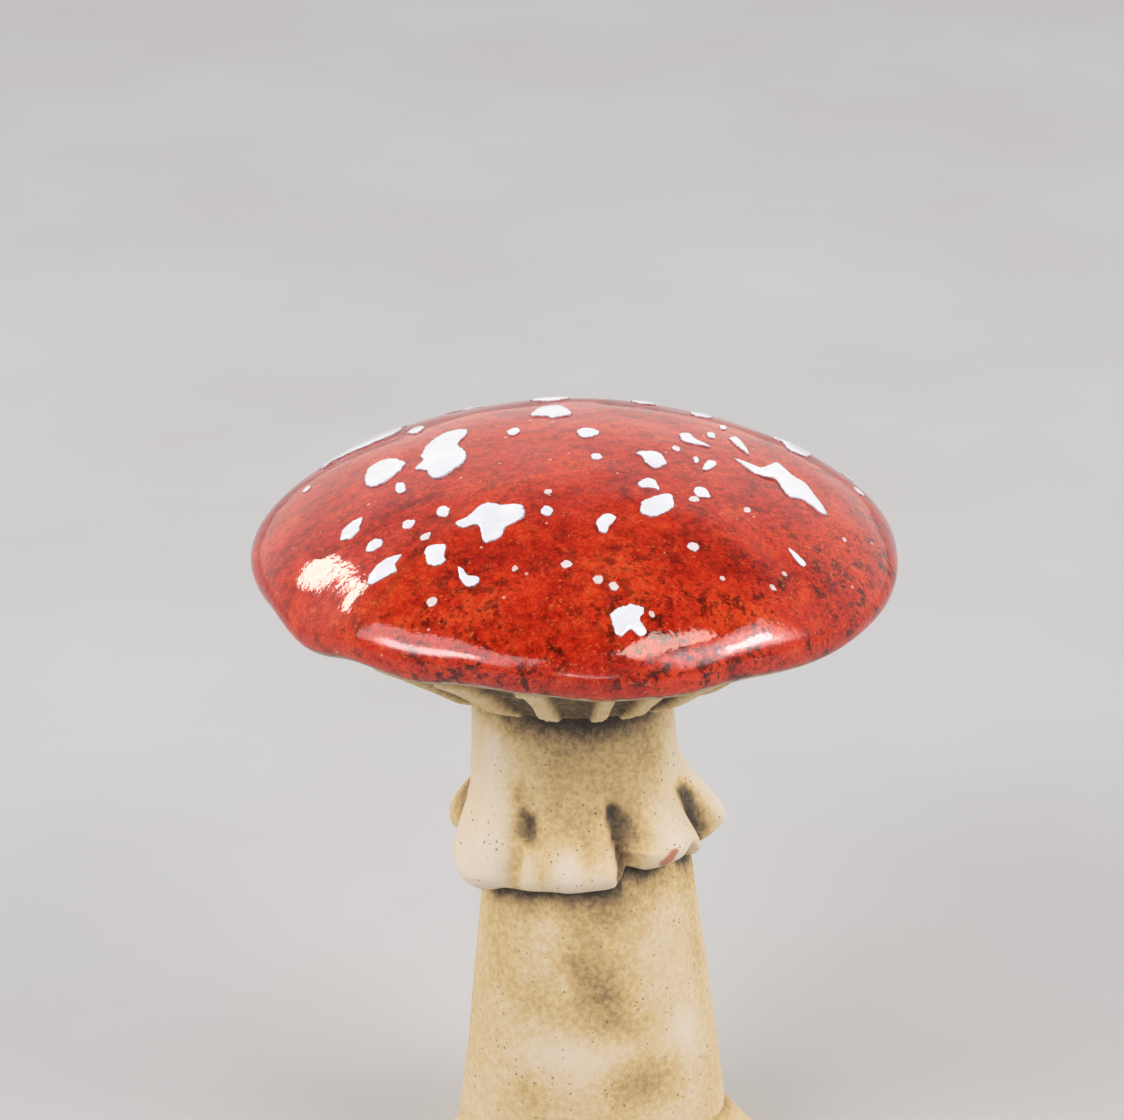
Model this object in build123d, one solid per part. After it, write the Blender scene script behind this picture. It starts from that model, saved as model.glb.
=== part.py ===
from build123d import *
from math import atan2, cos, exp, hypot, pi, radians, sin, tan
import os

# Hand-built ceramic toadstool: a red-glazed cap with white spots, on a cream stem with a ruffled
# skirt. It stands on the table at Z = 0 with the middle of its foot at the origin and its front
# towards -Y. Each piece is clay that is shaped on its own and then luted to the next one.

# Cap dome, in millimetres
CAP_RADIUS = 50.0  # at the widest plane of the rolled rim
DOME_HEIGHT = 19.6  # from the widest plane to the top
DOME_CROWN = 1.25  # 1 is an ellipse, more slopes the shoulders and peaks the top
DOME_WALL = 5.0  # at the top
LIP_DROP = 3.8  # how far the rolled lip reaches below the widest plane
LIP_ROLL = 3.4  # how far the lip turns in under the cap
LIP_LAND = 2.0  # flat clay under the lip, between its roll and the gill plate
RIM_WAVE = 0.7  # how far the hand-pressed rim swings in and out
RIM_WAVE_FADE = 6  # how fast the swing dies away above the rim, as a power
CROWN_ANGLE = 6.0  # degrees from the top that are pressed flat
LEDGE_WIDTH = 1.6  # ledge inside the dome that the gill plate is pressed against

# White glaze patches on the dome
SPOT_THICKNESS = 0.35
SPOT_UNEVENNESS = 0.13  # how far a patch's outline swings, as a share of its size

# Gill plate under the dome
GILL_DEPTH = 16.0  # from the bottom of the lip to the gill ring
GILL_RING_RADIUS = 20.5
GILL_PLATE_THICKNESS = 5.0
GILL_COUNT = 18
GILL_JITTER = 2.5  # degrees that a hand-cut groove strays from even spacing
GROOVE_DEPTH = 1.7
GROOVE_INNER_RADIUS = 2.2
GROOVE_OUTER_RADIUS = 5.2
GROOVE_MARGIN = 3.0  # whole clay between a groove and the plate's edge, and its run past the gill ring
SOCKET_DEPTH = 8.0
SOCKET_WALL = 4.0

# Stem
STEM_HEIGHT = 88.2  # from the table to the gill ring
STEM_TOP_RADIUS = 14.1
STEM_FOOT_RADIUS = 23.1
STEM_SWELL = 1.25  # 1 is a straight taper, more keeps the stem slim for longer
STEM_WALL = 5.0
STEM_LEAN = 3.0  # how far the cap stands to the left of the foot
STEM_CURVE = 2.2  # 1 is a straight lean, more bends it near the top
SPIGOT_RADIUS = 9.0
SPIGOT_HEIGHT = 7.0
VENT_RADIUS = 4.0  # lets air out of the cap while it is fired

# Skirt round the stem
SKIRT_LENGTH = 28.0
SKIRT_THICKNESS = 1.6  # at the gills
SKIRT_PIT_THICKNESS = 1.1  # clay over the stem in the pits between the folds
SKIRT_REACH = 4.4  # how far the folds stand out past the pits
SKIRT_TILT = 4.0  # degrees, the hem's right side is higher
SKIRT_PITS = (16, 60, 105, 150, 195, 235, 280, 330)  # degrees from the front, towards the right
PIT_WIDTH = 11.0  # degrees
# Share of the way from the gills to the hem, and share of the reach there: the hem is drawn in
SKIRT_PROFILE = ((0, 0), (0.22, 0.12), (0.44, 0.42), (0.66, 0.85), (0.84, 1.0), (1.0, 0.55))

# Foot collar round the bottom of the stem
FOOT_HEIGHT = 17.0
FOOT_EDGE = 0.9  # clay at the collar's top edge
FOOT_REACH = 8.0  # how far the foot spreads past the stem at the table
FOOT_SPREAD = 1.7  # 1 is a straight flare, more keeps it close to the stem for longer
FOOT_TILT = 14.0  # degrees, the collar's right side is higher
FOOT_LOBES = 7
FOOT_LOBE_SWING = 1.0

LUTING_GAP = 0.15  # slip between the gill plate and what it fits into or over

RING_POINTS = 36  # points on a hand-shaped ring
SPOT_POINTS = 12  # points on a glaze patch's outline
RING_STEPS = 6  # spans between the rings of a hand-shaped piece

# Worked out from the sizes above
LIP_Z = -LIP_DROP  # in the cap's own frame, whose origin is in the middle of the widest plane
GILL_RING_Z = LIP_Z - GILL_DEPTH
MOUTH_RADIUS = CAP_RADIUS - LIP_ROLL - LIP_LAND
LEDGE_RADIUS = MOUTH_RADIUS - LEDGE_WIDTH
LEDGE_Z = LIP_Z + GILL_PLATE_THICKNESS
PLATE_RADIUS = MOUTH_RADIUS - LUTING_GAP
SOCKET_RADIUS = SPIGOT_RADIUS + LUTING_GAP
CAP_PLACE = Pos(-STEM_LEAN, 0, STEM_HEIGHT - GILL_RING_Z)

# Each patch: its middle as shares of the cap's radius (right, back), its length and width in
# millimetres, and the degrees that its length is turned from the X axis in plan
SPOTS = (
    (-0.24, -0.48, 10.0, 8.0, -30),
    (-0.41, 0.03, 21.0, 6.5, 88),
    (-0.59, -0.03, 11.0, 5.5, 78),
    (0.64, -0.05, 15.0, 6.0, -38),
    (0.15, -0.86, 5.0, 4.4, 20),
    (-0.57, -0.58, 6.0, 3.6, 30),
    (-0.67, -0.33, 5.0, 2.6, 60),
    (0.24, -0.40, 6.6, 4.4, 75),
    (0.21, -0.29, 4.0, 3.6, 0),
    (0.23, -0.11, 6.5, 4.6, 80),
    (0.37, -0.29, 4.5, 3.0, 85),
    (0.40, -0.09, 4.9, 2.6, 100),
    (0.34, 0.10, 5.4, 2.8, 80),
    (0.50, 0.19, 8.2, 4.0, 110),
    (0.67, 0.34, 8.0, 5.0, -60),
    (0.65, -0.48, 3.4, 2.6, 60),
    (-0.08, 0.38, 12.0, 5.5, 80),
    (-0.68, 0.34, 15.0, 6.0, 56),
    (0.04, 0.08, 4.7, 3.4, 90),
    (-0.19, 0.10, 3.8, 2.4, 90),
    (0.08, -0.51, 4.6, 2.9, 70),
    (-0.42, -0.58, 5.2, 3.4, 80),
    (-0.32, -0.69, 3.8, 3.2, 40),
    (-0.60, -0.46, 2.8, 2.4, 0),
    (0.28, 0.55, 9.0, 6.0, 20),
    (-0.36, 0.68, 8.0, 5.5, 150),
    (0.06, 0.80, 7.0, 5.0, 0),
    (0.50, 0.72, 5.0, 4.0, 120),
    (-0.58, 0.63, 4.5, 3.5, 45),
)


def plan_point(radius, angle):
    """A point in plan, at an angle counted from the front towards the right."""
    return radius * sin(radians(angle)), -radius * cos(radians(angle))


def ring(radius_at, height, centre=0.0, tilt=0.0):
    """A closed smooth ring whose radius follows the angle, raised to the right by tilt degrees."""
    points = []
    for step in range(RING_POINTS):
        angle = 360.0 * step / RING_POINTS
        x, y = plan_point(radius_at(angle), angle)
        points.append((x + centre, y, height + x * tan(radians(tilt))))
    return Wire([Edge.make_spline(points, periodic=True)])


def shares():
    """The shares of the way from one end of a hand-shaped piece to the other that have a ring."""
    return [step / RING_STEPS for step in range(RING_STEPS + 1)]


# Cap dome
def rim_wave(angle):
    """The rim's swing at an angle, the sum of three slow hand-made waves."""
    slow = 0.5 * cos(radians(2 * angle + 70))
    middle = 0.3 * cos(radians(3 * angle - 25))
    quick = 0.2 * cos(radians(5 * angle + 140))
    return RIM_WAVE * (slow + middle + quick)


def dome_ring(lean, skin):
    """The dome's ring at an angle from its top, skin millimetres outside the clay."""
    height = DOME_HEIGHT * cos(lean) ** DOME_CROWN
    across = DOME_HEIGHT * DOME_CROWN * cos(lean) ** (DOME_CROWN - 1) * sin(lean)
    up = CAP_RADIUS * cos(lean)
    out = skin / hypot(across, up)
    fading = sin(lean) ** RIM_WAVE_FADE
    return ring(
        lambda angle: CAP_RADIUS * sin(lean) + out * across + fading * rim_wave(angle),
        height + out * up,
    )


def dome_skin(skin=0.0):
    """The domed top as a whole solid, down to the widest plane."""
    first = radians(CROWN_ANGLE)
    leans = [first + (pi / 2 - first) * share for share in shares()]
    return Solid.make_loft([dome_ring(lean, skin) for lean in leans])


def rolled_lip():
    """The rounded lip as a whole solid, from the widest plane down to its flat land."""
    rings = []
    for share in shares():
        turn = share * pi / 2
        radius = CAP_RADIUS - LIP_ROLL * (1 - cos(turn))
        rings.append(ring(lambda angle: radius + rim_wave(angle), -LIP_DROP * sin(turn)))
    return Solid.make_loft(rings)


def dome_hollow():
    """The dome's inside: an arched hollow over the ledge and the mouth for the gill plate."""
    top = (0, 0, DOME_HEIGHT - DOME_WALL)
    arch = TangentArc(top, (LEDGE_RADIUS, 0, LEDGE_Z), tangent=(1, 0, 0))
    sides = Polyline(
        arch @ 1,
        (MOUTH_RADIUS, 0, LEDGE_Z),
        (MOUTH_RADIUS, 0, LIP_Z),
        (0, 0, LIP_Z),
        top,
    )
    return revolve(make_face(arch + sides), Axis.Z)


def make_cap_dome():
    return CAP_PLACE * (dome_skin() + rolled_lip() - dome_hollow())


# White glaze patches
def spot_outline(length, width, number):
    """A rounded patch whose bumps differ from one patch to the next."""
    points = []
    for step in range(SPOT_POINTS):
        turn = 2 * pi * step / SPOT_POINTS
        bump = 1 + SPOT_UNEVENNESS * (sin(2 * turn + number) + sin(3 * turn + 2.3 * number))
        points.append((bump * cos(turn) * length / 2, bump * sin(turn) * width / 2))
    return make_face(Spline(*points, periodic=True))


def make_white_spots():
    glaze = dome_skin(SPOT_THICKNESS) - dome_skin()
    patches = []
    for number, (right, back, length, width, turn) in enumerate(SPOTS):
        column = extrude(spot_outline(length, width, number), DOME_HEIGHT + CAP_RADIUS)
        place = CAP_PLACE * Pos(right * CAP_RADIUS, back * CAP_RADIUS, 0) * Rot(0, 0, turn)
        patches += (place * column & CAP_PLACE * glaze).solids()
    return Compound(children=patches)


# Gill plate
def gill_groove(angle):
    """The hollow between two gills: a tapered round cut along the plate's slope."""
    slope = atan2(GILL_DEPTH, PLATE_RADIUS - GILL_RING_RADIUS)
    along, out = Vector(cos(slope), 0, sin(slope)), Vector(sin(slope), 0, -cos(slope))
    ring_edge, plate_edge = Vector(GILL_RING_RADIUS, 0, GILL_RING_Z), Vector(PLATE_RADIUS, 0, LIP_Z)
    start = ring_edge - along * GROOVE_MARGIN + out * (GROOVE_INNER_RADIUS - GROOVE_DEPTH)
    end = plate_edge - along * GROOVE_MARGIN + out * (GROOVE_OUTER_RADIUS - GROOVE_DEPTH)
    run = end - start
    cutter = Solid.make_cone(
        GROOVE_INNER_RADIUS, GROOVE_OUTER_RADIUS, run.length, Plane(start, z_dir=run)
    )
    return Rot(0, 0, angle) * cutter


def make_gill_plate():
    profile = Polyline(
        (SOCKET_RADIUS, 0, GILL_RING_Z),
        (GILL_RING_RADIUS, 0, GILL_RING_Z),
        (PLATE_RADIUS, 0, LIP_Z),
        (PLATE_RADIUS, 0, LEDGE_Z),
        (LEDGE_RADIUS, 0, LEDGE_Z),
        (GILL_RING_RADIUS, 0, GILL_RING_Z + GILL_PLATE_THICKNESS),
        (SOCKET_RADIUS + SOCKET_WALL, 0, GILL_RING_Z + GILL_PLATE_THICKNESS),
        (SOCKET_RADIUS + SOCKET_WALL, 0, GILL_RING_Z + SOCKET_DEPTH),
        (SOCKET_RADIUS, 0, GILL_RING_Z + SOCKET_DEPTH),
        close=True,
    )
    grooves = []
    for number in range(GILL_COUNT):
        stray = GILL_JITTER * sin(2.4 * number * number)
        grooves.append(gill_groove(360.0 * number / GILL_COUNT + stray))
    return CAP_PLACE * (revolve(make_face(profile), Axis.Z) - grooves)


# Stem
def stem_radius(height):
    taper = (1 - height / STEM_HEIGHT) ** STEM_SWELL
    return STEM_TOP_RADIUS + (STEM_FOOT_RADIUS - STEM_TOP_RADIUS) * taper


def stem_centre(height):
    """How far the stem's middle stands to the right of the origin at a height."""
    return -STEM_LEAN * (height / STEM_HEIGHT) ** STEM_CURVE


def stem_column(inset, top):
    """The stem's outside as a whole solid, or its hollow when inset by the wall."""
    rings = []
    for share in shares():
        height = top * share
        place = Plane((stem_centre(height), 0, height))
        rings.append(Wire.make_circle(stem_radius(height) - inset, place))
    return Solid.make_loft(rings)


def stem_outside():
    return stem_column(0, STEM_HEIGHT)


def make_stem():
    standing = (Align.CENTER, Align.CENTER, Align.MIN)
    hollow_top = STEM_HEIGHT - STEM_WALL
    spigot = Pos(-STEM_LEAN, 0, STEM_HEIGHT) * Cylinder(SPIGOT_RADIUS, SPIGOT_HEIGHT, align=standing)
    vent_length = STEM_WALL + SPIGOT_HEIGHT
    vent = Pos(-STEM_LEAN, 0, hollow_top) * Cylinder(VENT_RADIUS, vent_length, align=standing)
    return stem_outside() - stem_column(STEM_WALL, hollow_top) + spigot - vent


# Skirt
def fold_share(angle):
    """1 on the crest of a fold, 0 in a pit between two folds."""
    share = 1.0
    for pit in SKIRT_PITS:
        away = (angle - pit + 180) % 360 - 180
        share -= exp(-((away / PIT_WIDTH) ** 2))
    return max(share, 0.0)


def skirt_ring(down, reach):
    """The skirt's ring at a share of the way to the hem, with a share of the folds' reach."""
    height = STEM_HEIGHT - SKIRT_LENGTH * down
    clay = SKIRT_THICKNESS + (SKIRT_PIT_THICKNESS - SKIRT_THICKNESS) * down
    return ring(
        lambda angle: stem_radius(height) + clay + SKIRT_REACH * reach * fold_share(angle),
        height,
        stem_centre(height),
        SKIRT_TILT * down,
    )


def make_skirt():
    return Solid.make_loft([skirt_ring(*level) for level in SKIRT_PROFILE]) - stem_outside()


# Foot collar
def foot_ring(down):
    """The foot's ring at a share of the way from its top edge to the table."""
    height = FOOT_HEIGHT * (1 - down)
    reach = FOOT_EDGE + (FOOT_REACH - FOOT_EDGE) * down**FOOT_SPREAD
    swing = FOOT_LOBE_SWING * down
    return ring(
        lambda angle: stem_radius(height) + reach + swing * cos(radians(FOOT_LOBES * angle)),
        height,
        stem_centre(height),
        FOOT_TILT * (1 - down),
    )


def make_foot_collar():
    return Solid.make_loft([foot_ring(down) for down in shares()]) - stem_outside()


PIECES = {
    "cap_dome": make_cap_dome,
    "white_spots": make_white_spots,
    "gill_plate": make_gill_plate,
    "stem": make_stem,
    "skirt": make_skirt,
    "foot_collar": make_foot_collar,
}

os.makedirs("parts", exist_ok=True)
for name, make in PIECES.items():
    export_step(make(), f"parts/{name}.step")
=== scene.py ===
import bpy
from math import asin, atan2, cos, degrees, exp, hypot, pi, radians, sin, sqrt, tan, tau
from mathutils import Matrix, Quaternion, Vector, noise


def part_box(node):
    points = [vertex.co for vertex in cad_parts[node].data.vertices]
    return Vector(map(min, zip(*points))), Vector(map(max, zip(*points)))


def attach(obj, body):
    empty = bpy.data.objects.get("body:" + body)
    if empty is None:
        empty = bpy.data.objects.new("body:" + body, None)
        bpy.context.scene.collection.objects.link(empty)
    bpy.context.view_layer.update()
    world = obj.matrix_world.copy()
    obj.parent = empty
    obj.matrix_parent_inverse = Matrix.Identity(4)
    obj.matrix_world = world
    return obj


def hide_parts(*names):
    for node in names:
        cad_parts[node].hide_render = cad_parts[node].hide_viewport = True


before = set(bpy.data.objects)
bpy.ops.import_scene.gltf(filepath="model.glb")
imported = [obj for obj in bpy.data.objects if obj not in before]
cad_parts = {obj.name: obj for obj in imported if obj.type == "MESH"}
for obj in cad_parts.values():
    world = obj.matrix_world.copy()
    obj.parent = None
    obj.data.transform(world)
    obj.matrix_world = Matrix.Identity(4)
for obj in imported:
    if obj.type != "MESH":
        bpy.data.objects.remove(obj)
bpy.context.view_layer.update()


# Stem
# A hollow column of cream clay, rolled and smoothed by hand, that leans a little to the left.
# It is rubbed with an ochre-brown wash before it is fired, and a spigot on top holds the cap.
# The shade under the skirt's hem is painted into the wash colour.
MM = 0.001  # sizes are in millimetres, and angles in degrees from the front towards the right
NECK_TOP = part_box("gill_plate")[0].z / MM
STEM_TOP_RADIUS = 14.1
STEM_FOOT_RADIUS = (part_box("stem")[1].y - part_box("stem")[0].y) / 2 / MM
STEM_SWELL = 1.25  # above 1, the stem widens most near its foot
STEM_WALL = 5.0
STEM_LEAN = 3.0
STEM_CURVE = 2.2  # above 1, the stem bends most near its top
SPIGOT_RADIUS = 9.0
SPIGOT_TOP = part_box("stem")[1].z / MM
VENT_RADIUS = 4.0
STEM_ROWS = 110
STEM_STEPS = 220
STEM_INNER_SKIP = 5  # rows of points outside for each unseen one inside
TOUCH = 0.05  # a point nearer to a face than this counts as on it
CRISP_EDGE = 60  # edges that turn by more stay crisp
STEM_LUMP = 0.25
STEM_EVEN_FOOT = 6  # height over which the lumps start above the table
STEM_EVEN_TOP = 58  # height where they start to die away, under the skirt
STEM_EVEN_FADE = 8
CLAY_STAIN = 0.20  # how brown the wash leaves the bare stem, from 0 to 1
HOLLOW_STAIN = 0.25
UNDER_HEM = ((0.52, 1.9), (0.27, 6))  # wash collected under the skirt's hem, deepened as painted shade: strength and reach down
# Smudges of wash: angle, height, width in degrees, height of the smudge, strength
SMUDGES = (
    (6, 41.0, 15, 5.5, 0.38), (-9, 45.5, 13, 4.0, 0.20), (4, 55, 30, 6.0, 0.16), (-48, 46, 20, 12.0, 0.08),
    (22, 25, 17, 4.5, 0.32), (15, 35.5, 22, 2.5, 0.08), (-28, 22, 20, 4.0, 0.14), (70, 45, 8, 12.0, 0.12),
    (-27, 38.6, 14, 4.2, 0.20), (18, 34.5, 8, 2.2, 0.10),
    (130, 48, 26, 9.0, 0.24), (175, 34, 30, 8.0, 0.20), (-120, 30, 28, 9.0, 0.22),
    (-150, 50, 22, 6.0, 0.20),
)
# Places wiped paler, in the same order
PALE_PLACES = (
    (38, 46, 14, 11.0, 0.06), (-22, 52, 9, 4.0, 0.14), (-13, 42.5, 5, 2.2, 0.16), (-10, 30, 24, 3.8, 0.11),
    (50, 32, 10, 5.0, 0.14),
)
# Hem of the skirt above the stem: angle and height
HEM = (
    (-150, 57.5), (-112, 55.6), (-94, 57.0), (-76, 56.0), (-60, 55.2), (-43, 56.9), (-13, 58.6), (8, 59.2),
    (17, 59.6), (21, 62.2), (32, 61.2), (46, 61.6), (55, 63.0), (61, 60.6), (70, 59.4), (86, 59.4),
    (112, 59.8), (150, 59.0),
)
# Colours of the clay on a screen, from bare to thick wash and painted shade
WASH_COLOURS = (
    (0.00, (234, 222, 206)),
    (0.15, (229, 211, 180)),
    (0.30, (220, 194, 143)),
    (0.48, (197, 166, 112)),
    (0.66, (150, 124, 86)),
    (0.84, (94, 78, 58)),
    (1.00, (60, 51, 42)),
)
RUST = (190, 112, 62)
PEPPER = (104, 84, 62)
GROG = (110, 86, 62)


def smooth_step(share):
    share = min(max(share, 0.0), 1.0)
    return share * share * (3 - 2 * share)


def turn_between(angle, other):
    """Degrees from one angle to another, the short way round."""
    return (angle - other + 180) % 360 - 180


def around(pairs, angle):
    """A value that runs smoothly round the ring through listed (angle, value) pairs."""
    for number, (first, low) in enumerate(pairs):
        second, high = pairs[(number + 1) % len(pairs)]
        span = (second - first) % 360
        gone = (angle - first) % 360
        if gone <= span:
            return low + (high - low) * smooth_step(gone / span)
    return pairs[0][1]


def dab(angle, height, places):
    """The sum of soft round dabs at an angle and height."""
    total = 0.0
    for place, level, width, tall, strength in places:
        away = (turn_between(angle, place) / width) ** 2 + ((height - level) / tall) ** 2
        total += strength * exp(-away)
    return total


def lump(x, y, z, size):
    """Slow unevenness of hand-pressed clay, from -1 to 1."""
    return noise.noise(Vector((x, y, z)) / size)


def fade(distance, width):
    """1 at no distance, dying away softly over the width."""
    return exp(-((distance / width) ** 2))


def layers(distance, strengths):
    """Wash at a distance below an edge, from layers of (strength, reach)."""
    return sum(strength * fade(distance, reach) for strength, reach in strengths)


def ring_lump(angle, radius, height, size):
    """The slow unevenness at a point of a ring."""
    turn = radians(angle)
    return lump(radius * sin(turn), radius * cos(turn), height, size)


def deselect():
    bpy.ops.object.select_all(action="DESELECT")


def turned(name, outline, steps):
    """A ring of clay: a wire loop is laid along its outline of (radius, height) and turned about Z."""
    deselect()
    bpy.ops.mesh.primitive_circle_add(vertices=len(outline), radius=MM)
    piece = bpy.context.object
    piece.name = name
    piece.data.name = name
    for point, (radius, height) in zip(piece.data.vertices, outline):
        point.co = Vector((radius, 0, height)) * MM
    turning = piece.modifiers.new("turning", "SCREW")
    turning.steps = steps
    turning.render_steps = steps
    bpy.ops.object.modifier_apply(modifier="turning")
    bpy.ops.object.mode_set(mode="EDIT")
    bpy.ops.mesh.select_all(action="SELECT")
    bpy.ops.mesh.remove_doubles(threshold=0.001 * MM)
    bpy.ops.mesh.delete_loose(use_verts=True, use_edges=True, use_faces=False)
    bpy.ops.mesh.select_all(action="SELECT")
    bpy.ops.mesh.normals_make_consistent(inside=False)
    bpy.ops.object.mode_set(mode="OBJECT")
    return piece


def press(piece, shape, centre):
    """Shapes clay by hand: shape(angle, radius, height) gives a point's new radius, height and brown wash
    with any painted shade, and centre(height) how far the ring's middle stands to the right, in
    millimetres."""
    wash = piece.data.attributes.new("wash", "FLOAT", "POINT")
    for point in piece.data.vertices:
        x, y, z = point.co / MM
        angle = atan2(x, -y)
        radius, height, brown = shape(degrees(angle), hypot(x, y), z)
        x = radius * sin(angle) + centre(height)
        point.co = Vector((x, -radius * cos(angle), height)) * MM
        wash.data[point.index].value = brown
    deselect()
    piece.select_set(True)
    bpy.context.view_layer.objects.active = piece
    bpy.ops.object.shade_smooth_by_angle(angle=radians(CRISP_EDGE))


def paint(red, green, blue):
    """A colour given as it looks on a screen, from 0 to 255, as the shader's own light values."""
    values = []
    for part in (red, green, blue):
        part = part / 255
        values.append(part / 12.92 if part <= 0.04045 else ((part + 0.055) / 1.055) ** 2.4)
    return (*values, 1.0)


def node(tree, kind, inputs, **settings):
    """Adds a shader node. An input is a plain value, or the output that feeds it."""
    made = tree.nodes.new("ShaderNode" + kind)
    for name, value in settings.items():
        setattr(made, name, value)
    for name, value in inputs.items():
        if isinstance(value, bpy.types.NodeSocket):
            tree.links.new(value, made.inputs[name])
        else:
            made.inputs[name].default_value = value
    return made


def grain(tree, place, scale, detail=4.0, rough=0.55):
    """Cloudy noise, from 0 to 1, with scale spots to the metre."""
    inputs = {"Vector": place, "Scale": scale, "Detail": detail, "Roughness": rough}
    return node(tree, "TexNoise", inputs).outputs["Fac"]


def between(tree, value, low, high, least=0.0, most=1.0):
    """Rises softly from least to most as value goes from low to high."""
    inputs = {"Value": value, "From Min": low, "From Max": high, "To Min": least, "To Max": most}
    return node(tree, "MapRange", inputs, interpolation_type="SMOOTHSTEP").outputs["Result"]


def sums(tree, operation, first, second):
    return node(tree, "Math", {0: first, 1: second}, operation=operation).outputs[0]


def times(tree, first, second):
    return sums(tree, "MULTIPLY", first, second)


def over(tree, share, under, top, strength=None):
    """Lays the top colour, as it looks on a screen, over the one under it."""
    if strength:
        share = times(tree, share, strength)
    mixed = node(tree, "Mix", {0: share, 6: under, 7: paint(*top)}, data_type="RGBA")
    return mixed.outputs[2]


def ramp(tree, value, stops):
    """A run of colours, as they look on a screen, along a value."""
    made = node(tree, "ValToRGB", {"Fac": value})
    elements = made.color_ramp.elements
    while len(elements) < len(stops):
        elements.new(0.5)
    for element, (position, colour) in zip(elements, stops):
        element.position = position
        element.color = paint(*colour)
    return made.outputs["Color"]


def dots(tree, place, scale, size):
    """Scattered dots: 1 in a dot, 0 outside, with a size that differs from dot to dot."""
    cells = node(tree, "TexVoronoi", {"Vector": place, "Scale": scale})
    chance = node(tree, "SeparateColor", {0: cells.outputs["Color"]}).outputs[0]
    reach = times(tree, chance, size)
    inside = sums(tree, "SUBTRACT", reach, cells.outputs["Distance"])
    return between(tree, inside, 0.0, size * 0.25)


def bump(tree, height, strength, depth, under=None):
    """Raises the skin by up to the depth, over the bumps under it."""
    inputs = {"Height": height, "Strength": strength, "Distance": depth * MM}
    if under:
        inputs["Normal"] = under
    return node(tree, "Bump", inputs).outputs["Normal"]


def painted(tree, name):
    """A value painted on the points of the piece."""
    return node(tree, "Attribute", {}, attribute_name=name).outputs["Fac"]


def feed(tree, shader, colour, rough, skin, bend):
    """Joins a finish to its shader. Bend is how strongly the surface bends light."""
    tree.links.new(colour, shader.inputs["Base Color"])
    tree.links.new(rough, shader.inputs["Roughness"])
    tree.links.new(skin, shader.inputs["Normal"])
    shader.inputs["IOR"].default_value = bend


def new_material(name):
    material = bpy.data.materials.new(name)
    material.use_nodes = True
    tree = material.node_tree
    place = node(tree, "TexCoord", {}).outputs["Object"]
    return material, tree, place, tree.nodes["Principled BSDF"]


def washed_and_shaded_clay():
    """Cream clay, stained ochre by a wash that stays brown-black in the hollows, with painted shade under
    the hem and gills, and dark grog.
    """
    material, tree, place, shader = new_material("washed_and_shaded_clay")
    wash = painted(tree, "wash")
    rust = painted(tree, "rust")
    clouds = grain(tree, place, scale=90, detail=3.0)
    clouds = between(tree, clouds, 0.30, 0.70, least=-0.07, most=0.07)
    sponge = grain(tree, place, scale=950, detail=6.0, rough=0.72)
    sponge = between(tree, sponge, 0.30, 0.70, least=-0.12, most=0.12)
    uneven = sums(tree, "ADD", clouds, sponge)
    held = between(tree, wash, 0.0, 0.4, least=0.30, most=1.0)
    stain_and_shade = sums(tree, "ADD", wash, times(tree, uneven, held))
    colour = ramp(tree, stain_and_shade, WASH_COLOURS)
    rusty = sums(tree, "ADD", rust, times(tree, sponge, 2.0))
    rusty = between(tree, rusty, 0.30, 0.90, least=0.0, most=0.85)
    colour = over(tree, rusty, colour, RUST)
    pepper = dots(tree, place, scale=1050, size=0.27)
    clusters = between(tree, grain(tree, place, scale=200), 0.42, 0.58)
    pepper = times(tree, pepper, clusters)
    colour = over(tree, pepper, colour, PEPPER, 0.70)
    grog = dots(tree, place, scale=430, size=0.14)
    clusters = between(tree, grain(tree, place, scale=120), 0.44, 0.58)
    grog = times(tree, grog, clusters)
    colour = over(tree, grog, colour, GROG, 0.44)
    rough = between(tree, uneven, -0.16, 0.16, least=0.56, most=0.74)
    fine = grain(tree, place, scale=1500, detail=4.0, rough=0.6)
    skin = bump(tree, fine, strength=0.35, depth=0.10)
    coarse = grain(tree, place, scale=380, detail=3.0)
    skin = bump(tree, coarse, strength=0.4, depth=0.25, under=skin)
    feed(tree, shader, colour, rough, skin, bend=1.45)
    return material


def stem_radius(height):
    taper = max(1 - height / NECK_TOP, 0.0) ** STEM_SWELL
    return STEM_TOP_RADIUS + (STEM_FOOT_RADIUS - STEM_TOP_RADIUS) * taper


def stem_centre(height):
    """How far the stem's middle stands to the right of the foot's middle."""
    return -STEM_LEAN * min(height / NECK_TOP, 1.0) ** STEM_CURVE


def stem_outline():
    hollow_top = NECK_TOP - STEM_WALL
    heights = [NECK_TOP * row / STEM_ROWS for row in range(STEM_ROWS + 1)]
    outside = [(stem_radius(height), height) for height in heights]
    spigot = [
        (SPIGOT_RADIUS, NECK_TOP),
        (SPIGOT_RADIUS, SPIGOT_TOP),
        (VENT_RADIUS, SPIGOT_TOP),
        (VENT_RADIUS, hollow_top),
    ]
    rows = range(STEM_ROWS // STEM_INNER_SKIP, -1, -1)
    inside = [hollow_top * row * STEM_INNER_SKIP / STEM_ROWS for row in rows]
    hollow = [(stem_radius(height) - STEM_WALL, height) for height in inside]
    return outside + spigot + hollow


def stem_uneven(angle, radius, height):
    """How far the hand-smoothed stem stands off its even taper. Under the skirt it is even."""
    lumps = ring_lump(angle, radius, height, size=15)
    lumps += 0.5 * ring_lump(angle, radius, height + 90, size=6)
    above_table = smooth_step(height / STEM_EVEN_FOOT)
    below_skirt = 1 - smooth_step((height - STEM_EVEN_TOP) / STEM_EVEN_FADE)
    return STEM_LUMP * lumps * above_table * below_skirt


def stem_wash_and_shade(angle, height):
    """How dark the wash and painted shade are: darkest under the skirt's hem, with smudges and wiped
    places.
    """
    below_hem = around(HEM, angle) - height
    # painted shade under the hem, on top of the wash collected there
    brown = CLAY_STAIN + layers(below_hem, UNDER_HEM)
    return brown + dab(angle, height, SMUDGES) - dab(angle, height, PALE_PLACES)


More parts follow.
